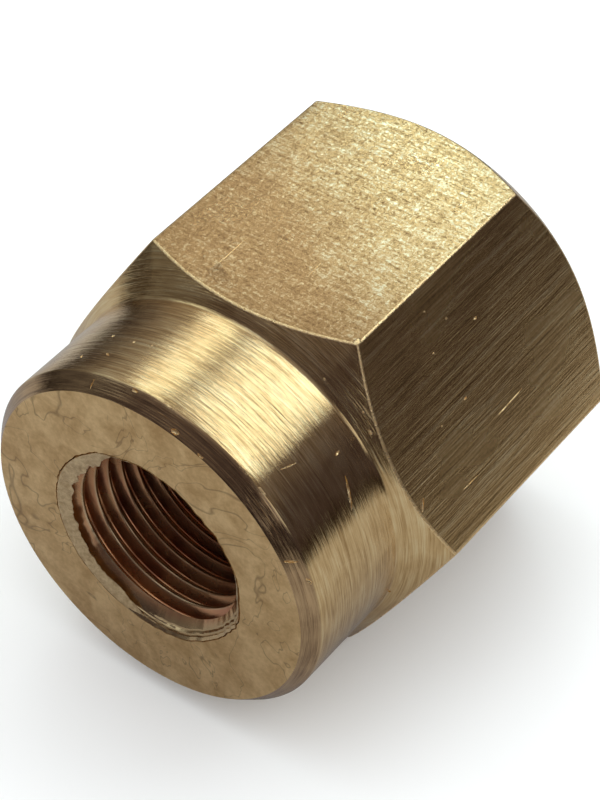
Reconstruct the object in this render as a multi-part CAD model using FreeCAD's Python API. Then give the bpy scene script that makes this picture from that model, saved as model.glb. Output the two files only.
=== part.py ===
import FreeCAD, Part
import math
import os

# A blind brass pipe cap, machined in one piece from hexagonal bar, in millimetres.
# The row frame: the cap lies on one of its flats, the bore's axis runs along Y and the open mouth
# faces -Y.  The origin is on the bore's axis, in the plane of the mouth.

# Hexagonal bar and the overall length
ACROSS_FLATS = 19.0
LENGTH = 21.25
CORNER_RADIUS = 0.18

# Turned skirt around the mouth
SKIRT_RADIUS = 8.92
SKIRT_LENGTH = 6.2
RIM_AXIAL = 0.71
RIM_RADIAL = 0.59
ROOT_RADIUS = 0.5

# Chamfers turned on both ends of the hexagon, as half-angles of cones about the axis
FRONT_CONE_DEG = 52.7
BACK_CONE_DEG = 46.0
BACK_FACE_RADIUS = ACROSS_FLATS / 2 - 0.07

# G 1/8 parallel pipe thread, Whitworth form
PITCH = 0.907
MINOR_RADIUS = 4.283
THREAD_DEPTH = 0.581
FLANK_DEG = 27.5
THREAD_LENGTH = 12.0
DRILL_DEPTH = 15.0
DRILL_POINT_DEG = 118.0
MOUTH_RADIUS = 5.07
MOUTH_CONE_DEG = 45.0

# The groove's section stands this far inside the drilled wall, which still leaves its turns apart,
# and it starts at an angle that is on none of the wall's seams
GROOVE_CLEARANCE = 0.1
GROOVE_START_DEG = 11.0

# The bore's wall is made of this many arcs, so that no face of the thread wraps the whole way round
WALL_ARCS = 8

Z = FreeCAD.Vector(0, 0, 1)


def hexagonal_bar():
    """The bar as it is bought, along +Z from the mouth's plane, with one flat facing +Y."""
    corner = ACROSS_FLATS / math.sqrt(3)
    angles = [math.radians(60 * i) for i in range(7)]
    points = [FreeCAD.Vector(corner * math.cos(a), corner * math.sin(a), 0) for a in angles]
    bar = Part.Face(Part.makePolygon(points)).extrude(Z * LENGTH)
    long_edges = [e for e in bar.Edges if abs(e.tangentAt(e.FirstParameter).z) > 0.99]
    return bar.makeFillet(CORNER_RADIUS, long_edges)


def turned_envelope():
    """What the lathe leaves: skirt with its broken rim, front cone, hexagon's corners, back cone."""
    slope = math.radians(FRONT_CONE_DEG)
    beyond = ACROSS_FLATS
    rise = (beyond - SKIRT_RADIUS) / math.tan(slope)
    fall = (beyond - BACK_FACE_RADIUS) / math.tan(math.radians(BACK_CONE_DEG))
    # the tool's nose leaves an arc where the skirt meets the cone, tangent to both
    reach = ROOT_RADIUS * math.tan(slope / 2)
    root_start = SKIRT_LENGTH - reach
    root_sag = ROOT_RADIUS * (1 - math.cos(slope / 2))
    root = [
        (SKIRT_RADIUS, root_start),
        (SKIRT_RADIUS + root_sag, root_start + ROOT_RADIUS * math.sin(slope / 2)),
        (SKIRT_RADIUS + reach * math.sin(slope), SKIRT_LENGTH + reach * math.cos(slope)),
    ]
    outside = [
        (beyond, SKIRT_LENGTH + rise),
        (beyond, LENGTH - fall),
        (BACK_FACE_RADIUS, LENGTH),
        (0, LENGTH),
        (0, 0),
        (SKIRT_RADIUS - RIM_RADIAL, 0),
        (SKIRT_RADIUS, RIM_AXIAL),
    ]
    arc = Part.Arc(*[FreeCAD.Vector(r, 0, z) for r, z in root]).toShape()
    corners = [FreeCAD.Vector(r, 0, z) for r, z in root[-1:] + outside + root[:1]]
    wire = Part.Wire([arc] + Part.makePolygon(corners).Edges)
    return Part.Face(wire).revolve(FreeCAD.Vector(0, 0, 0), Z, 360)


def arc_prism(radius, depth, count):
    """A cylinder along +Z whose wall is split into arcs."""
    step = 2 * math.pi / count
    arcs = []
    for i in range(count):
        turns = [(i + part / 2) * step for part in range(3)]
        ends = [FreeCAD.Vector(radius * math.cos(a), radius * math.sin(a), 0) for a in turns]
        arcs.append(Part.Arc(*ends).toShape())
    return Part.Face(Part.Wire(arcs)).extrude(Z * depth)


def drilled_hole():
    """The tapping drill's hole with its conical point, and the countersink at the mouth."""
    point = MINOR_RADIUS / math.tan(math.radians(DRILL_POINT_DEG / 2))
    hole = arc_prism(MINOR_RADIUS, DRILL_DEPTH, WALL_ARCS)
    tip = Part.makeCone(MINOR_RADIUS, 0, point, Z * DRILL_DEPTH, Z)
    sink_depth = (MOUTH_RADIUS - MINOR_RADIUS) / math.tan(math.radians(MOUTH_CONE_DEG))
    sink = Part.makeCone(MOUTH_RADIUS, MINOR_RADIUS, sink_depth)
    return hole.fuse([tip, sink])


def thread_groove():
    """The tap's right-handed V groove, swept along a helix that starts outside the mouth."""
    flank = math.tan(math.radians(FLANK_DEG))
    inner = MINOR_RADIUS - GROOVE_CLEARANCE
    outer = MINOR_RADIUS + THREAD_DEPTH
    outer_half = PITCH / 12
    inner_half = outer_half + (outer - inner) * flank
    section = [
        FreeCAD.Vector(inner, 0, -PITCH - inner_half),
        FreeCAD.Vector(outer, 0, -PITCH - outer_half),
        FreeCAD.Vector(outer, 0, -PITCH + outer_half),
        FreeCAD.Vector(inner, 0, -PITCH + inner_half),
    ]
    profile = Part.makePolygon(section + section[:1])
    helix = Part.makeLongHelix(PITCH, THREAD_LENGTH + PITCH, MINOR_RADIUS)
    helix.translate(Z * -PITCH)
    groove = Part.Wire(helix.Edges).makePipeShell([profile], True, True)
    groove.rotate(FreeCAD.Vector(0, 0, 0), Z, GROOVE_START_DEG)
    return groove


def pipe_cap():
    """The finished cap as one solid, laid on a flat with its mouth facing -Y."""
    blank = hexagonal_bar().common(turned_envelope())
    cap = blank.cut(drilled_hole()).cut(thread_groove()).Solids[0]
    cap.rotate(FreeCAD.Vector(0, 0, 0), FreeCAD.Vector(1, 0, 0), -90)
    return cap


os.makedirs("parts", exist_ok=True)
pipe_cap().exportStep("parts/cap_body.step")
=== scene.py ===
import math

import bpy
from mathutils import Matrix, Quaternion, Vector, noise


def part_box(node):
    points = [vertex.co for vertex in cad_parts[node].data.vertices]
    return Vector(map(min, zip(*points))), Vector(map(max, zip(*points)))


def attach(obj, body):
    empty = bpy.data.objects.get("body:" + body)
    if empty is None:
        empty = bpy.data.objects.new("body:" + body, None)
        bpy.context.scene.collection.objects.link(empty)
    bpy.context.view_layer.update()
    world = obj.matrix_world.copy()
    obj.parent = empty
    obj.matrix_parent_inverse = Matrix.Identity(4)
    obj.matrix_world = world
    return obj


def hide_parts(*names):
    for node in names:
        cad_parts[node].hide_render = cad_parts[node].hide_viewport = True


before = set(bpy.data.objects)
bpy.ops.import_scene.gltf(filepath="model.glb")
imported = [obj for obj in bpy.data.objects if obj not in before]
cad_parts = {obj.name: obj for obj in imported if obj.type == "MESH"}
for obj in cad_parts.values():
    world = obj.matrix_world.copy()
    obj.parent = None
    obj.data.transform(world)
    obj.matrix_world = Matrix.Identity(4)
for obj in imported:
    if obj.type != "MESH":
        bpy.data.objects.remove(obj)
bpy.context.view_layer.update()

# ---------------------------------------------------------------------------------------------
# The blank: a length of free-cutting brass bar, cold drawn through a hexagonal die and sawn off
# a little longer than the cap.  The die leaves its flats streaked along the bar, and the two
# that slide on the bench are scoured since.
# ---------------------------------------------------------------------------------------------
MM = 0.001
body_low, body_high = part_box("cap_body")
LENGTH = body_high.y
ACROSS_FLATS = body_high.z - body_low.z
CORNER = ACROSS_FLATS / math.sqrt(3)
SAW_ALLOWANCE = 1.0 * MM
LEVEL_FLAT = 0.9


def linear(code):
    """An sRGB hex colour as the linear RGBA that a shader takes."""
    parts = [int(code[i:i + 2], 16) / 255 for i in (1, 3, 5)]
    return tuple(p / 12.92 if p < 0.04045 else ((p + 0.055) / 1.055) ** 2.4 for p in parts) + (1,)


def add(tree, kind, settings=None, **inputs):
    """A node of a material's tree: its settings, then its sockets as values or as links.
    A socket goes by its name, with _ for a space, or by its number after a _."""
    node = tree.nodes.new("ShaderNode" + kind)
    for key, value in (settings or {}).items():
        setattr(node, key, value)
    for key, value in inputs.items():
        socket = node.inputs[int(key[1:])] if key[1:].isdigit() else node.inputs[key.replace("_", " ")]
        if isinstance(value, bpy.types.NodeSocket):
            tree.links.new(value, socket)
        else:
            socket.default_value = value
    return node


def new_finish(name):
    """An empty material and its tree, with the object's own coordinates."""
    material = bpy.data.materials.new(name)
    material.use_nodes = True
    tree = material.node_tree
    tree.nodes.clear()
    return material, tree, add(tree, "TexCoord").outputs["Object"]


def grain(tree, place, per_mm, detail=3.0, rough=0.6, twist=0.0):
    """Noise with so many grains in a millimetre along each of the object's axes."""
    scaled = add(tree, "VectorMath", {"operation": "MULTIPLY"}, _0=place, _1=[n / MM for n in per_mm])
    return add(
        tree, "TexNoise", None,
        Vector=scaled.outputs[0], Scale=1.0, Detail=detail, Roughness=rough, Distortion=twist,
    ).outputs["Fac"]


def reach(tree, value, low, high, to_low=0.0, to_high=1.0):
    """Stretches one range of a value to another, held at its ends."""
    return add(
        tree, "MapRange", None, Value=value,
        From_Min=low, From_Max=high, To_Min=to_low, To_Max=to_high,
    ).outputs["Result"]


def blend(tree, share, one, other):
    """Mixes two colours, each a socket or a linear colour."""
    return add(
        tree, "Mix", {"data_type": "RGBA"}, _0=share, _6=one, _7=other
    ).outputs[2]


def total(tree, *terms):
    """A weighted sum of (value, weight) pairs."""
    result = None
    for value, weight in terms:
        node = add(tree, "Math", {"operation": "MULTIPLY_ADD"}, _0=value, _1=weight)
        if result is not None:
            tree.links.new(result, node.inputs[2])
        else:
            node.inputs[2].default_value = 0.0
        result = node.outputs[0]
    return result


def brass(tree, colour, roughness, height, depth, aniso=0.0):
    """The metal's shader: its colour, its roughness and its relief, so deep in metres.
    Where it is turned, it blurs what it mirrors across the tool's rings, about the Y axis."""
    relief = add(tree, "Bump", None, Strength=1.0, Distance=depth, Height=height)
    metal = add(
        tree, "BsdfPrincipled", None,
        Base_Color=colour, Metallic=1.0, Roughness=roughness, Anisotropic=aniso,
        Normal=relief.outputs[0],
    )
    if aniso:
        round_axis = add(tree, "Tangent", {"direction_type": "RADIAL", "axis": "Y"})
        tree.links.new(round_axis.outputs[0], metal.inputs["Tangent"])
        metal.inputs["Anisotropic Rotation"].default_value = 0.25
    add(tree, "OutputMaterial", None, Surface=metal.outputs[0])


def make_drawn_brass():
    """Cold-drawn brass: long streaks from the die, brown where the metal has tarnished and
    yellow where it is rubbed.  The real streaks are a few hundredths of a millimetre apart,
    too fine to show, so they are drawn about 0.2 mm apart."""
    material, tree, place = new_finish("drawn_brass")
    streaks = grain(tree, place, (4.5, 0.14, 4.5), detail=4.0, rough=0.7)
    fine_streaks = grain(tree, place, (13.0, 0.4, 13.0), detail=2.0)
    frost = grain(tree, place, (6.5, 6.5, 6.5), rough=0.75, twist=0.6)
    tone = grain(tree, place, (0.35, 0.2, 0.35), rough=0.5)
    height = total(tree, (streaks, 1.0), (fine_streaks, 0.5), (frost, 0.5))
    shade = total(tree, (streaks, 0.50), (fine_streaks, 0.32), (frost, 0.18))
    dull = blend(tree, reach(tree, shade, 0.34, 0.50), linear("#93744A"), linear("#D9B47A"))
    colour = blend(tree, reach(tree, shade, 0.50, 0.68), dull, linear("#FFE9B5"))
    brass(tree, colour, reach(tree, tone, 0.3, 0.7, 0.24, 0.29), height, 0.014 * MM)
    return material


def make_frosted_brass():
    """Scoured brass: a fine glittering frost that breaks the light into bright flecks and short
    strokes across the bar.  Its colour is painted lighter towards the closed end and the right, and painted
    darker at the front, as painted light and shade.
    The real grit is under 0.05 mm, too fine to show, so it is drawn about 0.15 mm wide."""
    material, tree, place = new_finish("frosted_brass")
    streaks = grain(tree, place, (4.5, 0.3, 4.5), rough=0.7)
    rows = grain(tree, place, (0.8, 6.0, 0.8), detail=2.0)
    frost = grain(tree, place, (6.0, 6.0, 6.0), rough=0.8, twist=0.8)
    tone = grain(tree, place, (0.35, 0.2, 0.35), rough=0.5)
    height = total(tree, (streaks, 0.3), (rows, 0.6), (frost, 1.0))
    shade = total(tree, (frost, 0.58), (rows, 0.27), (streaks, 0.15))
    # Two copies of the grain's colours: a brighter, more flecked one for the back and a darker one for the
    # front, which paint light and shade.
    dull = blend(tree, reach(tree, shade, 0.38, 0.50), linear("#846740"), linear("#E6C286"))
    painted_light_back = blend(tree, reach(tree, shade, 0.51, 0.60), dull, linear("#FFFFDA"))
    dull = blend(tree, reach(tree, shade, 0.36, 0.52), linear("#866541"), linear("#B99262"))
    painted_shade_front = blend(tree, reach(tree, shade, 0.53, 0.66), dull, linear("#E8D0A2"))
    parts = add(tree, "SeparateXYZ", None, Vector=place)
    rearward = total(tree, (parts.outputs[1], 1.0), (parts.outputs[0], 0.7), (tone, 8 * MM))
    # Painted light and shade: the colour runs from the darker front copy to the brighter copy towards the
    # back and right.
    colour = blend(tree, reach(tree, rearward, 14 * MM, 24 * MM), painted_shade_front, painted_light_back)
    brass(tree, colour, reach(tree, tone, 0.3, 0.7, 0.27, 0.32), height, 0.020 * MM)
    return material


drawn_brass = make_drawn_brass()
frosted_brass = make_frosted_brass()

bpy.ops.object.select_all(action="DESELECT")
bpy.ops.mesh.primitive_cylinder_add(
    vertices=6,
    radius=CORNER,
    depth=LENGTH + 2 * SAW_ALLOWANCE,
    location=(0, LENGTH / 2, 0),
    rotation=(math.pi / 2, math.pi / 6, 0),
)
bar = bpy.context.object
bar.name = "hexagonal_bar"
bpy.ops.object.transform_apply(location=True, rotation=True, scale=True)
bar.data.materials.append(drawn_brass)
bar.data.materials.append(frosted_brass)
for face in bar.data.polygons:
    face.material_index = 1 if abs(face.normal.z) > LEVEL_FLAT else 0

# ---------------------------------------------------------------------------------------------
# The lathe work: the closed end is chamfered, the skirt is turned down to a round collar with a
# broken rim, and the mouth is faced, drilled and countersunk, all in one chucking of the bar.
# ---------------------------------------------------------------------------------------------
SKIRT_RADIUS = 8.92 * MM
SKIRT_LENGTH = 6.2 * MM
ROOT_RADIUS = 0.25 * MM
RIM_AXIAL = 0.71 * MM
RIM_RADIAL = 0.59 * MM
RIM_CUTS = 4
RIM_STEP = 0.014 * MM
RIM_ROUND = 0.05 * MM
FRONT_CONE = math.radians(52.7)
BACK_CONE = math.radians(46.0)
BACK_FACE_RADIUS = ACROSS_FLATS / 2 - 0.07 * MM
MOUTH_RADIUS = 5.07 * MM
CRACK_WIDTH = 0.06 * MM
CRACK_DEPTH = 0.09 * MM
# The countersink's chattered steps, each as its depth and its distance in from the mouth's edge.
COUNTERSINK = [(0.0, 0.0), (0.04, 0.05), (0.10, 0.12), (0.18, 0.14), (0.20, 0.24), (0.32, 0.30), (0.34, 0.38)]
# The mouth's edge wanders by so many mm, widely and finely, within this far of its radius.
MOUTH_WANDER = 0.11
MOUTH_QUIVER = 0.07
MOUTH_BAND = 0.4 * MM
MINOR_RADIUS = 4.283 * MM
DRILL_RADIUS = MINOR_RADIUS - 0.03 * MM
DRILL_DEPTH = 15.0 * MM
DRILL_POINT = math.radians(59.0)
BEYOND = CORNER + 0.6 * MM
TURNED_STEPS = 240
NEARLY = 0.01 * MM


def from_axis(tree, parts):
    """How far a place lies from the bore's axis, from its separate coordinates."""
    across = add(tree, "CombineXYZ", None, X=parts.outputs[0], Z=parts.outputs[2])
    return add(tree, "VectorMath", {"operation": "LENGTH"}, _0=across.outputs[0]).outputs["Value"]


def make_turned_brass():
    """Turned brass: brighter than the drawn flats, with the tool's rings, which blur what it
    mirrors along the axis and keep it sharp around, and grime in the cuts of the rim.  The feed
    is under 0.1 mm, too fine to show, so the rings are drawn 0.15 to 0.3 mm apart."""
    material, tree, place = new_finish("turned_brass")
    parts = add(tree, "SeparateXYZ", None, Vector=place)
    ring = total(tree, (parts.outputs[1], 1.7), (from_axis(tree, parts), 1.0))
    ringed = add(tree, "CombineXYZ", None, X=parts.outputs[0], Y=ring, Z=parts.outputs[2]).outputs[0]
    rings = grain(tree, ringed, (0.30, 7.0, 0.30), rough=0.7)
    fine_rings = grain(tree, ringed, (0.8, 16.0, 0.8), detail=2.0)
    smudge = grain(tree, place, (0.5, 0.5, 0.5), detail=4.0, twist=0.8)
    chatter = grain(tree, ringed, (0.55, 3.5, 0.55), detail=2.0, rough=0.5)
    height = total(tree, (rings, 1.0), (fine_rings, 0.4), (smudge, 0.45), (chatter, 1.0))
    tone = total(tree, (rings, 0.35), (fine_rings, 0.25), (smudge, 0.2), (chatter, 0.2))
    dull = blend(tree, reach(tree, tone, 0.38, 0.50), linear("#B8935F"), linear("#E9C68C"))
    colour = blend(tree, reach(tree, tone, 0.50, 0.62), dull, linear("#FFE8B2"))
    grimy = blend(tree, reach(tree, tone, 0.40, 0.60), linear("#907355"), linear("#D4B284"))
    behind_rim = reach(tree, parts.outputs[1], RIM_AXIAL - RIM_ROUND, RIM_AXIAL + 0.03 * MM)
    colour = blend(tree, behind_rim, grimy, colour)
    brass(tree, colour, reach(tree, smudge, 0.35, 0.65, 0.12, 0.17), height, 0.012 * MM, aniso=0.85)
    return material


def make_faced_brass():
    """Faced brass: the mouth's flat, cut across by the tool, then rubbed by fingers until it is dull and
    cloudy.  The tide lines of dried stains wander over it."""
    material, tree, place = new_finish("faced_brass")
    stain = grain(tree, place, (0.22, 0.22, 0.22), rough=0.55, twist=1.2)
    cloud = grain(tree, place, (0.6, 0.6, 0.6), detail=4.0, twist=0.4)
    speck = grain(tree, place, (4.0, 4.0, 4.0), rough=0.7)
    tide = add(tree, "Math", {"operation": "PINGPONG"}, _0=stain, _1=0.09).outputs[0]
    line = reach(tree, tide, 0.0, 0.008, 1.0, 0.0)
    shade = total(tree, (cloud, 0.7), (speck, 0.3))
    colour = blend(tree, reach(tree, shade, 0.38, 0.62), linear("#C6A06A"), linear("#EECB92"))
    colour = blend(tree, total(tree, (line, 0.55)), colour, linear("#7C5E3C"))
    height = total(tree, (cloud, 1.2), (speck, 0.5), (line, -0.3))
    brass(tree, colour, reach(tree, cloud, 0.3, 0.7, 0.38, 0.30), height, 0.010 * MM)
    return material


def make_torn_brass():
    """Torn brass: the burr that the tap folded over, rough, pale and hardly shining."""
    material, tree, place = new_finish("torn_brass")
    crumple = grain(tree, place, (3.0, 3.0, 3.0), detail=5.0, rough=0.7, twist=0.5)
    crack = grain(tree, place, (0.8, 0.8, 0.8), detail=4.0, twist=0.8)
    colour = blend(tree, reach(tree, crumple, 0.3, 0.7), linear("#B2936A"), linear("#EFD6A8"))
    brass(tree, colour, 0.42, total(tree, (crumple, 1.0), (crack, 1.5)), 0.05 * MM)
    return material


def make_tapped_brass():
    """Tapped brass: pale in the countersink and on the rubbed crests, with painted shade that darkens the
    crests deeper in the hole, and red-brown on the thread's flanks, partly a dried film of cutting oil and
    partly painted reflection of brass in brass."""
    material, tree, place = new_finish("tapped_brass")
    parts = add(tree, "SeparateXYZ", None, Vector=place)
    depth = parts.outputs[1]
    drag = grain(tree, place, (1.0, 8.0, 1.0))
    film = grain(tree, place, (0.5, 0.5, 0.5), twist=0.5)
    # The flanks' red-brown is partly a dried oil film and partly painted reflection of brass in brass.
    oil_film_and_painted_reflection = blend(tree, reach(tree, film, 0.35, 0.65), linear("#C88E6C"), linear("#E4B07E"))
    # Painted shade: the crests darken from pale near the mouth to brown deeper in the hole.
    crest = blend(tree, reach(tree, depth, 1.2 * MM, 4.5 * MM), linear("#D6BC94"), linear("#A07C5A"))
    below_crest = reach(tree, from_axis(tree, parts), 4.29 * MM, 4.38 * MM)
    colour = blend(tree, below_crest, crest, oil_film_and_painted_reflection)
    past_countersink = reach(tree, depth, 0.35 * MM, 0.75 * MM)
    colour = blend(tree, past_countersink, linear("#CDB084"), colour)
    height = total(tree, (drag, 1.0), (film, 1.0))
    brass(tree, colour, reach(tree, film, 0.3, 0.7, 0.20, 0.30), height, 0.006 * MM)
    return material


def make_worn_brass():
    """Worn brass: the broken edges and the dents, rubbed bright and a little lumpy."""
    material, tree, place = new_finish("worn_brass")
    rub = grain(tree, place, (5.0, 5.0, 5.0), rough=0.7)
    colour = blend(tree, reach(tree, rub, 0.35, 0.65), linear("#E8C288"), linear("#FFE0A8"))
    brass(tree, colour, reach(tree, rub, 0.3, 0.7, 0.34, 0.22), rub, 0.03 * MM)
    return material


turned_brass = make_turned_brass()
faced_brass = make_faced_brass()
torn_brass = make_torn_brass()
tapped_brass = make_tapped_brass()
worn_brass = make_worn_brass()
BRASSES = [drawn_brass, frosted_brass, turned_brass, faced_brass, torn_brass, tapped_brass, worn_brass]


def arc(centre, radius, start, end, count):
    """Points (y, r) of an arc in the lathe's plane; angles are from +r towards +Y."""
    turns = [start + (end - start) * i / count for i in range(count + 1)]
    return [(centre[0] + radius * math.sin(a), centre[1] + radius * math.cos(a)) for a in turns]


def rim_outline():
    """The broken rim as (y, r): a few flat cuts with a burr between each and the next, and a
    small round at either end."""
    slope = math.atan2(RIM_RADIAL, RIM_AXIAL)
    in_y, in_r = RIM_STEP * math.sin(slope), RIM_STEP * math.cos(slope)
    outline = [
        (RIM_AXIAL + RIM_ROUND, SKIRT_RADIUS),
        (RIM_AXIAL + RIM_ROUND * 0.15, SKIRT_RADIUS - RIM_ROUND * 0.15),
        (RIM_AXIAL - RIM_ROUND * 0.7, SKIRT_RADIUS - RIM_ROUND * 0.6),
    ]
    for cut in range(1, RIM_CUTS):
        y = RIM_AXIAL * (1 - cut / RIM_CUTS)
        r = SKIRT_RADIUS - RIM_RADIAL * (cut / RIM_CUTS)
        outline += [(y + in_y, r - in_r), (y - in_y / 2, r + in_r / 2)]
    inner = SKIRT_RADIUS - RIM_RADIAL
    outline += [
        (RIM_ROUND * 0.6, inner + RIM_ROUND * 0.5),
        (RIM_ROUND * 0.1, inner - RIM_ROUND * 0.1),
        (0, inner - RIM_ROUND * 0.8),
    ]
    return outline


def turned_outline():
    """The lathe's path as (y, r), from the closed end round the skirt and down the drilled hole."""
    root_reach = ROOT_RADIUS * math.tan(FRONT_CONE / 2)
    root_centre = (SKIRT_LENGTH - root_reach, SKIRT_RADIUS + ROOT_RADIUS)
    outline = [
        (LENGTH, BACK_FACE_RADIUS),
        (LENGTH - (BEYOND - BACK_FACE_RADIUS) / math.tan(BACK_CONE), BEYOND),
        (SKIRT_LENGTH + (BEYOND - SKIRT_RADIUS) / math.tan(FRONT_CONE), BEYOND),
    ]
    outline += arc(root_centre, ROOT_RADIUS, math.pi - FRONT_CONE, math.pi, 8)
    outline += [(SKIRT_LENGTH * k / 8, SKIRT_RADIUS) for k in range(7, 1, -1)]
    outline += rim_outline()
    outline += [
        (0, MOUTH_RADIUS + CRACK_WIDTH),
        (CRACK_DEPTH, MOUTH_RADIUS + CRACK_WIDTH / 2),
    ]
    outline += [(y * MM, MOUTH_RADIUS - inward * MM) for y, inward in COUNTERSINK]
    outline += [
        (MOUTH_RADIUS - DRILL_RADIUS, DRILL_RADIUS),
        (DRILL_DEPTH, DRILL_RADIUS),
    ]
    return outline


def start_editing(piece, kind, wanted):
    """Edit mode on this piece alone, with the parts picked whose every vertex is wanted."""
    bpy.ops.object.select_all(action="DESELECT")
    piece.select_set(True)
    bpy.context.view_layer.objects.active = piece
    bpy.ops.object.mode_set(mode="EDIT")
    bpy.ops.mesh.select_mode(type=kind)
    bpy.ops.mesh.select_all(action="DESELECT")
    bpy.ops.object.mode_set(mode="OBJECT")
    vertices = piece.data.vertices
    parts = {"VERT": vertices, "EDGE": piece.data.edges, "FACE": piece.data.polygons}[kind]
    for part in parts:
        ends = [part] if kind == "VERT" else [vertices[i] for i in part.vertices]
        part.select = all(wanted(v.co) for v in ends)
    bpy.ops.object.mode_set(mode="EDIT")


def turn(name, outline, steps, tip):
    """A solid turned about the Y axis: a circle extruded from point to point of its outline,
    and closed to a point at the tip's depth."""
    bpy.ops.object.select_all(action="DESELECT")
    y, radius = outline[0]
    bpy.ops.mesh.primitive_circle_add(
        vertices=steps, radius=radius, location=(0, y, 0), rotation=(math.pi / 2, math.pi / steps, 0)
    )
    piece = bpy.context.object
    piece.name = name
    bpy.ops.object.transform_apply(location=True, rotation=True, scale=True)
    bpy.ops.object.mode_set(mode="EDIT")
    bpy.ops.mesh.select_mode(type="EDGE")
    bpy.ops.mesh.select_all(action="SELECT")
    bpy.ops.mesh.extrude_edges_move()
    bpy.ops.mesh.merge(type="CENTER")
    bpy.ops.object.mode_set(mode="OBJECT")
    start_editing(piece, "EDGE", lambda co: math.hypot(co.x, co.z) > radius / 2)
    for next_y, next_radius in outline[1:]:
        bpy.ops.mesh.extrude_edges_move(TRANSFORM_OT_translate={"value": (0, next_y - y, 0)})
        grow = next_radius / radius
        bpy.ops.transform.resize(value=(grow, 1, grow), center_override=(0, next_y, 0))
        y, radius = next_y, next_radius
    bpy.ops.mesh.extrude_edges_move(TRANSFORM_OT_translate={"value": (0, tip - y, 0)})
    bpy.ops.mesh.merge(type="CENTER")
    bpy.ops.mesh.select_all(action="SELECT")
    bpy.ops.mesh.normals_make_consistent(inside=False)
    bpy.ops.object.mode_set(mode="OBJECT")
    return piece


def combine(piece, operation, tool):
    """Cuts or trims a piece with another, whose finish the cut takes, and clears the other away."""
    cut = piece.modifiers.new("cut", "BOOLEAN")
    cut.operation = operation
    cut.solver = "EXACT"
    cut.material_mode = "TRANSFER"
    cut.object = tool
    bpy.ops.object.select_all(action="DESELECT")
    piece.select_set(True)
    bpy.context.view_layer.objects.active = piece
    bpy.ops.object.modifier_apply(modifier=cut.name)
    bpy.data.objects.remove(tool)


drill_tip = DRILL_DEPTH + DRILL_RADIUS / math.tan(DRILL_POINT)
cap = turn("brass_cap", turned_outline(), TURNED_STEPS, drill_tip)
for material in BRASSES:
    cap.data.materials.append(material)
for face in cap.data.polygons:
    reach_out = math.hypot(face.center.x, face.center.z)
    in_hole = reach_out < DRILL_RADIUS and face.center.y < LENGTH - NEARLY
    in_countersink = reach_out < MOUTH_RADIUS + CRACK_WIDTH and face.center.y < LENGTH / 2
    if in_hole or in_countersink:
        kind = tapped_brass
    elif face.center.y < NEARLY:
        kind = faced_brass
    else:
        kind = turned_brass
    face.material_index = BRASSES.index(kind)

# The countersink chattered, so its edge and the crack round it aren't true circles.
for vertex in cap.data.vertices:
    reach_out = math.hypot(vertex.co.x, vertex.co.z)
    if vertex.co.y < LENGTH / 2 and abs(reach_out - MOUTH_RADIUS) < MOUTH_BAND:
        around = vertex.co / reach_out * MOUTH_RADIUS / MM
        around.y = 0
        wander = MOUTH_WANDER * noise.noise(around * 0.9) + MOUTH_QUIVER * noise.noise(around * 3.0)
        grow = 1 + wander * MM / reach_out
        vertex.co = (vertex.co.x * grow, vertex.co.y, vertex.co.z * grow)
combine(cap, "INTERSECT", bar)

# The sharp edges that the hexagon keeps are broken by handling to a thin bright line.
EDGE_BREAK = 0.075 * MM
BAR_FINISHES = (drawn_brass, frosted_brass)
flats = [p for p in cap.data.polygons if cap.data.materials[p.material_index] in BAR_FINISHES]
flat_edges = {key for p in flats for key in p.edge_keys}
start_editing(cap, "EDGE", lambda co: False)
bpy.ops.object.mode_set(mode="OBJECT")
for edge in cap.data.edges:
    edge.select = edge.key in flat_edges
bpy.ops.object.mode_set(mode="EDIT")
bpy.ops.mesh.bevel(
    offset=EDGE_BREAK, segments=3, affect="EDGES", clamp_overlap=False,
    material=BRASSES.index(worn_brass),
)
bpy.ops.object.mode_set(mode="OBJECT")

# ---------------------------------------------------------------------------------------------
# Handling marks: nicks, pits and scratches that other fittings in the bin have pressed into the
# soft brass.  Each is cut by a small lumpy blunt shape.
# ---------------------------------------------------------------------------------------------
FRONT_CONE_START = SKIRT_LENGTH - SKIRT_RADIUS / math.tan(FRONT_CONE)
ALONG = Vector((0, 1, 0))


def on_turning(angle, y, radius):
    """A point on a turned surface, its angle counted from the top, and the radius's direction."""
    a = math.radians(angle)
    out = Vector((math.sin(a), 0, math.cos(a)))
    return out * radius + Vector((0, y, 0)), out


def on_skirt(angle, y):
    """A point on the skirt, so many mm from the mouth, with its directions out and along."""
    place, out = on_turning(angle, y * MM, SKIRT_RADIUS)
    return place, out, ALONG


def on_rim(angle, y):
    """A point on the broken rim, with its directions out and around."""
    place, out = on_turning(angle, y * MM, SKIRT_RADIUS - RIM_RADIAL * (1 - y * MM / RIM_AXIAL))
    return place, (out - Vector((0, RIM_RADIAL / RIM_AXIAL, 0))).normalized(), out.cross(ALONG)


def on_cone(angle, radius):
    """A point on the front cone, so many mm from the axis, with a direction out that leans to
    the mouth and the direction around."""
    y = FRONT_CONE_START + radius * MM / math.tan(FRONT_CONE)
    place, out = on_turning(angle, y, radius * MM)
    lean = out * math.sin(FRONT_CONE) - Vector((0, math.cos(FRONT_CONE), 0))
    return place, lean.normalized(), out.cross(ALONG)


def on_flat(side, across, y):
    """A point on one of the six flats, counted round from the top one."""
    a = math.radians(60 * side)
    out = Vector((math.sin(a), 0, math.cos(a)))
    sideways = Vector((math.cos(a), 0, -math.sin(a)))
    return out * ACROSS_FLATS / 2 + sideways * across * MM + Vector((0, y * MM, 0)), out, ALONG


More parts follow.
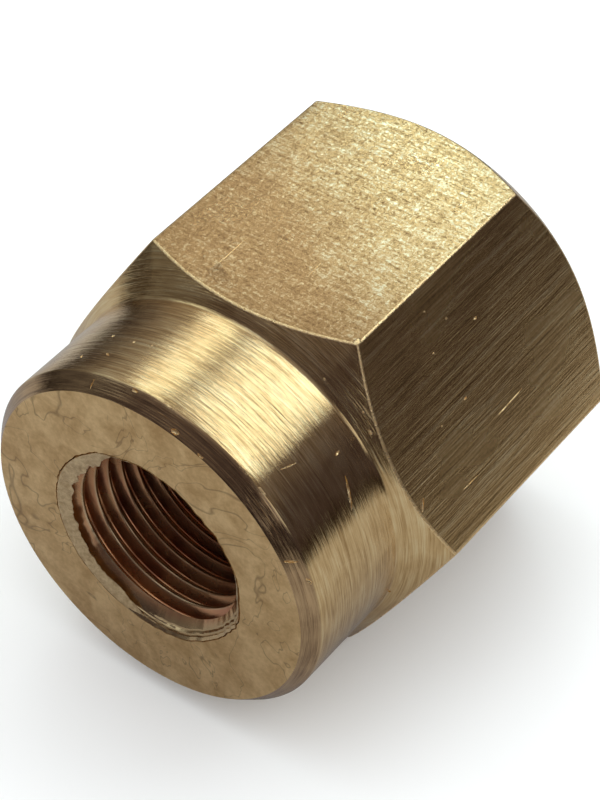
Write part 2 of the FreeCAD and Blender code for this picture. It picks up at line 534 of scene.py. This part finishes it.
def mark(name, spot, length, width, depth, turn_by=0.0):
    """A blunt tool's shape at a spot: so long, so wide, and so far into the surface, in mm."""
    place, out, along = spot
    along = Quaternion(out, math.radians(turn_by)) @ along
    side = out.cross(along)
    bpy.ops.object.select_all(action="DESELECT")
    bpy.ops.mesh.primitive_ico_sphere_add(subdivisions=3, radius=1.0)
    tool = bpy.context.object
    tool.name = name
    for vertex in tool.data.vertices:
        lumpy = 1 + 0.35 * noise.noise(vertex.co * 1.4 + place / MM)
        co = vertex.co * lumpy
        vertex.co = (
            place
            + along * co.x * length / 2 * MM
            + side * co.y * width / 2 * MM
            + out * co.z * depth * MM
        )
    tool.data.materials.append(worn_brass)
    return tool


def join(name, pieces):
    """Makes one mesh of many pieces."""
    bpy.ops.object.select_all(action="DESELECT")
    for piece in pieces:
        piece.select_set(True)
    bpy.context.view_layer.objects.active = pieces[0]
    bpy.ops.object.join()
    pieces[0].name = name
    return pieces[0]


pressed = [
    mark("pit", on_skirt(-27.4, 3.3), 0.16, 0.16, 0.05),
    mark("pit", on_skirt(-18.1, 3.1), 0.16, 0.12, 0.05),
    mark("pit", on_skirt(-30.6, 1.7), 0.22, 0.15, 0.06, 40),
    mark("pit", on_skirt(-21.9, 2.0), 0.28, 0.12, 0.05, 60),
    mark("pit", on_skirt(-12.0, 3.2), 0.12, 0.10, 0.04),
    mark("scratch", on_skirt(40.6, 2.5), 0.9, 0.07, 0.03, -18),
    mark("gouge", on_skirt(58.5, 4.35), 1.5, 0.14, 0.08, 70),
    mark("pit", on_skirt(47.5, 4.9), 0.30, 0.12, 0.05, 10),
    mark("pit", on_cone(71.2, 8.6), 0.22, 0.14, 0.07),
    mark("pit", on_cone(106.8, 8.95), 0.30, 0.12, 0.07, 30),
    mark("dent", on_rim(-4.5, 0.60), 0.35, 0.14, 0.08),
    mark("dent", on_rim(12.2, 0.14), 0.40, 0.22, 0.09),
    mark("dent", on_rim(-19.0, 0.35), 0.50, 0.07, 0.05, 80),
    mark("dent", on_rim(22.0, 0.05), 0.35, 0.10, 0.05),
    mark("dent", on_rim(62.0, 0.30), 0.60, 0.12, 0.07, 60),
    mark("dent", on_rim(70.0, 0.60), 0.40, 0.16, 0.06, 20),
    mark("dent", on_rim(140.0, 0.50), 0.50, 0.18, 0.08, 20),
    mark("dent", on_rim(215.0, 0.40), 0.50, 0.20, 0.08),
    mark("dent", on_rim(281.0, 0.50), 0.40, 0.16, 0.08),
    mark("nick", on_flat(0, 0.4, 6.60), 0.22, 0.14, 0.06, 60),
    mark("nick", on_flat(0, -3.1, 7.05), 0.16, 0.10, 0.05, 60),
    mark("scratch", on_flat(0, -2.25, 9.25), 1.9, 0.05, 0.02),
    mark("scratch", on_flat(0, 1.3, 10.4), 1.4, 0.04, 0.015, 4),
    mark("scratch", on_flat(1, 1.95, 14.3), 1.9, 0.07, 0.035, 2),
    mark("pit", on_flat(1, -2.4, 14.45), 0.24, 0.14, 0.07),
    mark("pit", on_flat(1, 0.15, 12.0), 0.22, 0.12, 0.07),
    mark("nick", on_flat(1, 2.4, 7.25), 0.60, 0.16, 0.07, 50),
    mark("scratch", on_flat(1, 3.4, 10.2), 1.1, 0.05, 0.02),
    mark("nick", on_flat(5, 2.0, 13.0), 1.2, 0.07, 0.03, 12),
    mark("pit", on_flat(4, -1.2, 10.6), 0.30, 0.16, 0.06),
    mark("nick", on_flat(2, 0.6, 15.8), 0.9, 0.07, 0.03, -20),
]
combine(cap, "DIFFERENCE", join("nicks", pressed))

# ---------------------------------------------------------------------------------------------
# The port's thread: a right-handed pipe thread, 28 turns to the inch, cut by a tap.  The tap's
# ground teeth leave rounded crests and roots, and the countersink trims the first turn.
# ---------------------------------------------------------------------------------------------
PITCH = 0.907 * MM
THREAD_DEPTH = 0.581 * MM
THREAD_ROUND = 0.137 * PITCH
FLANK = math.radians(27.5)
THREAD_LENGTH = 12.0 * MM
THREAD_RUN_IN = 2 * PITCH
THREAD_STEPS = 96
THREAD_TURN = math.radians(195.5)


def thread_section():
    """One pitch of the tap's outline as (y, r), from one crest of the hole's wall to the next."""
    lean = math.pi / 2 - FLANK
    crest = MINOR_RADIUS + THREAD_ROUND
    root = MINOR_RADIUS + THREAD_DEPTH - THREAD_ROUND
    section = arc((0, crest), THREAD_ROUND, math.pi, math.pi - lean, 4)
    section += arc((PITCH / 2, root), THREAD_ROUND, -lean, lean, 6)
    section += arc((PITCH, crest), THREAD_ROUND, math.pi + lean, math.pi, 4)
    return section


def close_tap_end(far_end):
    """Closes one open end of the tap to a point on its axis."""
    bpy.ops.mesh.select_all(action="DESELECT")
    bpy.ops.mesh.select_non_manifold(
        use_wire=False, use_multi_face=False, use_non_contiguous=False, use_verts=False
    )
    if not far_end:
        bpy.ops.object.mode_set(mode="OBJECT")
        for edge in tap.data.edges:
            if edge.select:
                middle = sum(tap.data.vertices[i].co.y for i in edge.vertices) / 2
                edge.select = middle < THREAD_LENGTH / 2
        bpy.ops.object.mode_set(mode="EDIT")
    bpy.ops.mesh.extrude_edges_move()
    bpy.ops.mesh.merge(type="CENTER")


section = thread_section()
bpy.ops.object.select_all(action="DESELECT")
bpy.ops.mesh.primitive_plane_add(size=PITCH)
tap = bpy.context.object
tap.name = "tap"
bpy.ops.object.mode_set(mode="EDIT")
bpy.ops.mesh.select_mode(type="VERT")
bpy.ops.mesh.select_all(action="SELECT")
bpy.ops.mesh.merge(type="CENTER")
bpy.ops.transform.translate(value=(section[0][1], section[0][0] - THREAD_RUN_IN, 0))
for (y, r), (next_y, next_r) in zip(section, section[1:]):
    bpy.ops.mesh.extrude_vertices_move(TRANSFORM_OT_translate={"value": (next_r - r, next_y - y, 0)})
bpy.ops.object.mode_set(mode="OBJECT")
screw = tap.modifiers.new("helix", "SCREW")
screw.axis = "Y"
screw.screw_offset = PITCH
screw.iterations = round((THREAD_LENGTH + THREAD_RUN_IN) / PITCH)
screw.steps = THREAD_STEPS
screw.render_steps = THREAD_STEPS
screw.use_merge_vertices = True
screw.merge_threshold = 0.001 * MM
bpy.ops.object.modifier_apply(modifier=screw.name)
tap.rotation_euler = (0, THREAD_TURN, 0)
bpy.ops.object.transform_apply(location=False, rotation=True, scale=False)
start_editing(tap, "VERT", lambda co: True)
bpy.ops.mesh.remove_doubles(threshold=0.002 * MM)
bpy.ops.mesh.select_mode(type="EDGE")
close_tap_end(far_end=False)
close_tap_end(far_end=True)
bpy.ops.mesh.select_all(action="SELECT")
bpy.ops.mesh.normals_make_consistent(inside=False)
bpy.ops.object.mode_set(mode="OBJECT")
tap.data.materials.append(tapped_brass)
combine(cap, "DIFFERENCE", tap)
start_editing(cap, "VERT", lambda co: True)
bpy.ops.mesh.remove_doubles(threshold=0.001 * MM)
bpy.ops.object.mode_set(mode="OBJECT")

# ---------------------------------------------------------------------------------------------
# The burr: where the tap broke through the countersink it folded a thin ragged lip of brass over
# the first groove, along the mouth's left side only.
# ---------------------------------------------------------------------------------------------
LIP_MIDDLE = math.radians(262)
LIP_SPREAD = math.radians(62)
LIP_FADE = math.radians(24)
LIP_REACH = 0.72 * MM
# The lip's section, each point as its depth in mm and its share of the lip's reach.
LIP_SECTION = [
    (-0.008, 0.03), (-0.020, 0.12), (0.010, 0.30), (0.045, 0.55), (0.090, 0.85), (0.125, 1.00),
    (0.170, 0.96), (0.200, 0.75), (0.215, 0.45), (0.240, 0.10), (0.250, 0.04), (0.100, 0.03),
]
# What is left of the lip's reach past its ends, and how far it sinks there under the surface.
LIP_REMNANT = 0.04
LIP_SUNK = 0.09 * MM
# How uneven its edge is, widely and finely, as shares of its reach, and how lumpy its surface is.
LIP_WAVES = 0.30
LIP_TEETH = 0.22
LIP_LUMPS = 0.022 * MM

lip_outline = [(y * MM, MOUTH_RADIUS - share * LIP_REACH) for y, share in LIP_SECTION]
lip_outline.append(lip_outline[0])
bpy.ops.object.select_all(action="DESELECT")
bpy.ops.mesh.primitive_circle_add(
    vertices=TURNED_STEPS, radius=lip_outline[0][1], location=(0, lip_outline[0][0], 0),
    rotation=(math.pi / 2, 0, 0),
)
lip = bpy.context.object
lip.name = "burr_lip"
bpy.ops.object.transform_apply(location=True, rotation=True, scale=True)
bpy.ops.object.mode_set(mode="EDIT")
bpy.ops.mesh.select_mode(type="EDGE")
bpy.ops.mesh.select_all(action="SELECT")
for (y, r), (next_y, next_r) in zip(lip_outline, lip_outline[1:]):
    bpy.ops.mesh.extrude_edges_move(TRANSFORM_OT_translate={"value": (0, next_y - y, 0)})
    bpy.ops.transform.resize(value=(next_r / r, 1, next_r / r), center_override=(0, next_y, 0))
bpy.ops.mesh.select_all(action="SELECT")
bpy.ops.mesh.remove_doubles(threshold=0.001 * MM)
bpy.ops.mesh.normals_make_consistent(inside=False)
bpy.ops.object.mode_set(mode="OBJECT")


def fold_lip(co):
    """Where a point of the even lip goes: ragged along the left side, sunk away elsewhere."""
    flat = Vector((co.x, 0, co.z))
    off = abs(math.atan2(flat.x, flat.z) % (2 * math.pi) - LIP_MIDDLE)
    off = min(off, 2 * math.pi - off)
    share = (MOUTH_RADIUS - flat.length) / LIP_REACH
    keep = min(1, max(LIP_REMNANT, (LIP_SPREAD + LIP_FADE - off) / LIP_FADE))
    fade = 1 - keep
    around = flat.normalized() * MOUTH_RADIUS / MM
    ragged = LIP_WAVES * noise.noise(around * 1.3)
    ragged += LIP_TEETH * noise.noise(around * 4.0 + Vector((7, 0, 0)))
    if share > 0:
        keep *= 1 + ragged * share
        share *= keep
    flat = flat.normalized() * (MOUTH_RADIUS - (share - 0.3 * fade) * LIP_REACH)
    lump = LIP_LUMPS * noise.noise(co / MM * 2.5) if share > 0.05 else 0
    return flat.x, co.y * (1 - fade / 2) + lump + LIP_SUNK * fade, flat.z


for vertex in lip.data.vertices:
    vertex.co = fold_lip(vertex.co)
lip.data.materials.append(torn_brass)

# ---------------------------------------------------------------------------------------------
# Raised specks: burrs that the blows threw up beside the nicks, and swarf rubbed into the metal.
# Each is a small closed lump that sits in the surface, and with the lip it finishes the cap.
# ---------------------------------------------------------------------------------------------
SOFT_EDGE = math.radians(28)
raised = [
    mark("burr", on_rim(6.8, 0.68), 0.40, 0.14, 0.05),
    mark("burr", on_rim(33.2, 0.70), 0.50, 0.10, 0.03),
    mark("burr", on_rim(40.6, 0.72), 0.45, 0.12, 0.03),
    mark("burr", on_flat(0, 5.38, 7.85), 0.42, 0.30, 0.05, 20),
    mark("burr", on_flat(0, 1.84, 6.74), 0.24, 0.10, 0.04, 80),
    mark("speck", on_cone(30.5, 9.3), 0.14, 0.10, 0.03),
    mark("speck", on_cone(43.2, 9.6), 0.12, 0.10, 0.03),
    mark("speck", on_cone(48.7, 9.4), 0.24, 0.14, 0.04),
    mark("speck", on_flat(1, -4.4, 11.9), 0.12, 0.08, 0.02),
    mark("speck", on_flat(1, -3.4, 12.9), 0.12, 0.10, 0.02),
    mark("speck", on_flat(1, -2.6, 11.4), 0.10, 0.08, 0.02),
    mark("speck", on_flat(1, 0.3, 10.1), 0.12, 0.08, 0.02),
]
cap = join("brass_cap", [cap, lip] + raised)
bpy.ops.object.shade_smooth_by_angle(angle=SOFT_EDGE)
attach(cap, "root")
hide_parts("cap_body")

# ---------------------------------------------------------------------------------------------
# The setting: a plain pale floor under the flat that the cap lies on, soft studio light from
# large panels, and the camera close by, above the mouth's front right.
# ---------------------------------------------------------------------------------------------
FLOOR_SIZE = 4.0
SHEET_EDGE = (75 * MM, 115 * MM)
bpy.ops.object.select_all(action="DESELECT")
bpy.ops.mesh.primitive_plane_add(size=FLOOR_SIZE, location=(0, 0, body_low.z))
floor = bpy.context.object
floor.name = "floor"


def make_white_board():
    """Matt white board: pale to the eye.  In the metal it shows greyer, as a sheet that ends at
    a dark bench, which gives the brass its brown shadows."""
    material, tree, place = new_finish("white_board")
    seen = add(tree, "LightPath").outputs["Is Camera Ray"]
    pale = add(tree, "BsdfDiffuse", None, Color=linear("#FAFAF9"))
    spread = add(tree, "VectorMath", {"operation": "LENGTH"}, _0=place).outputs["Value"]
    shown = blend(tree, reach(tree, spread, *SHEET_EDGE), linear("#A2A1A4"), linear("#2C2622"))
    grey = add(tree, "BsdfDiffuse", None, Color=shown)
    both = add(tree, "MixShader", None, _0=seen, _1=grey.outputs[0], _2=pale.outputs[0])
    add(tree, "OutputMaterial", None, Surface=both.outputs[0])
    return material


floor.data.materials.append(make_white_board())

# The room: bright to the board, so that it has a soft even light and shadow, and dim to the
# metal, which mirrors a dark horizon under a lighter ceiling, a paler wall on the left and a
# doorway beside it.
LEFT_WALL = (-0.95, 0.3, 0.0)
DOORWAY = (-0.97, -0.24, 0.0)
room = bpy.data.worlds.new("room")
bpy.context.scene.world = room
room.use_nodes = True
tree = room.node_tree
tree.nodes.clear()
direction = add(tree, "TexCoord").outputs["Generated"]
up = add(tree, "SeparateXYZ", None, Vector=direction).outputs[2]


def towards(bearing):
    """How nearly a direction of the room points along a bearing."""
    return add(tree, "VectorMath", {"operation": "DOT_PRODUCT"}, _0=direction, _1=bearing).outputs["Value"]


dark = blend(tree, reach(tree, up, 0.35, 0.9), linear("#3C343A"), linear("#8B868B"))
light = blend(tree, reach(tree, up, 0.08, 0.5), linear("#494345"), linear("#9E9C9E"))
walls = blend(tree, reach(tree, towards(LEFT_WALL), 0.25, 0.85), dark, light)
walls = blend(tree, reach(tree, towards(DOORWAY), 0.70, 0.95), walls, linear("#6C6B6C"))
dim = add(tree, "Background", None, Color=walls, Strength=1.0)
bright = add(tree, "Background", None, Color=linear("#FFFFFF"), Strength=1.02)
in_metal = add(tree, "LightPath").outputs["Is Glossy Ray"]
mixed = add(tree, "MixShader", None, _0=in_metal, _1=bright.outputs[0], _2=dim.outputs[0])
add(tree, "OutputWorld", None, Surface=mixed.outputs[0])


def panel(name, azimuth, elevation, distance, size, radiance, colour):
    """A soft light panel that faces the cap's middle from a bearing round +Y and a height."""
    lamp = bpy.data.lights.new(name, "AREA")
    lamp.shape = "RECTANGLE"
    lamp.size, lamp.size_y = size
    lamp.energy = radiance * math.pi * size[0] * size[1]
    lamp.color = linear(colour)[:3]
    holder = bpy.data.objects.new(name, lamp)
    bpy.context.scene.collection.objects.link(holder)
    a, e = math.radians(azimuth), math.radians(elevation)
    away = Vector((math.sin(a) * math.cos(e), math.cos(a) * math.cos(e), math.sin(e)))
    holder.location = Vector((0, LENGTH / 2, 0)) + away * distance
    holder.rotation_euler = away.to_track_quat("Z", "Y").to_euler()
    holder.visible_camera = False


panel("panel_left", -41, 42, 0.4, (0.15, 0.12), 1.35, "#EAF5F8")
panel("panel_over", -64, 60, 0.4, (0.12, 0.12), 1.5, "#DEF6FA")
panel("panel_lamp", -26, 33, 0.16, (0.036, 0.036), 3.2, "#E0F8F6")
panel("panel_right", 22, 53, 0.4, (0.38, 0.16), 2.1, "#E2F2FA")
panel("panel_side", -105, 42, 0.4, (0.2, 0.17), 0.7, "#DFF5FF")
panel("panel_high", -135, 72, 0.4, (0.2, 0.2), 0.8, "#E6F5FF")
panel("panel_rear", 115, 26, 0.5, (0.34, 0.2), 0.7, "#F0F6FF")

# The camera's place is the cap's middle, moved by the bearing, the height and the distance.
AIM = Vector((-0.083 * MM, 11.281 * MM, 0.049 * MM))
AZIMUTH = math.radians(36.36)
ELEVATION = math.radians(45.07)
DISTANCE = 121.19 * MM
ROLL = math.radians(0.3165)
camera_data = bpy.data.cameras.new("camera")
camera_data.sensor_width = 36.0
camera_data.lens = 119.04
camera = bpy.data.objects.new("camera", camera_data)
bpy.context.scene.collection.objects.link(camera)
back = Vector((
    math.sin(AZIMUTH) * math.cos(ELEVATION),
    -math.cos(AZIMUTH) * math.cos(ELEVATION),
    math.sin(ELEVATION),
))
camera.location = AIM + back * DISTANCE
camera.rotation_mode = "QUATERNION"
facing = back.to_track_quat("Z", "Y").to_matrix() @ Matrix.Rotation(ROLL, 3, "Z")
camera.rotation_quaternion = facing.to_quaternion()
bpy.context.scene.camera = camera
bpy.context.scene.view_settings.view_transform = "Standard"
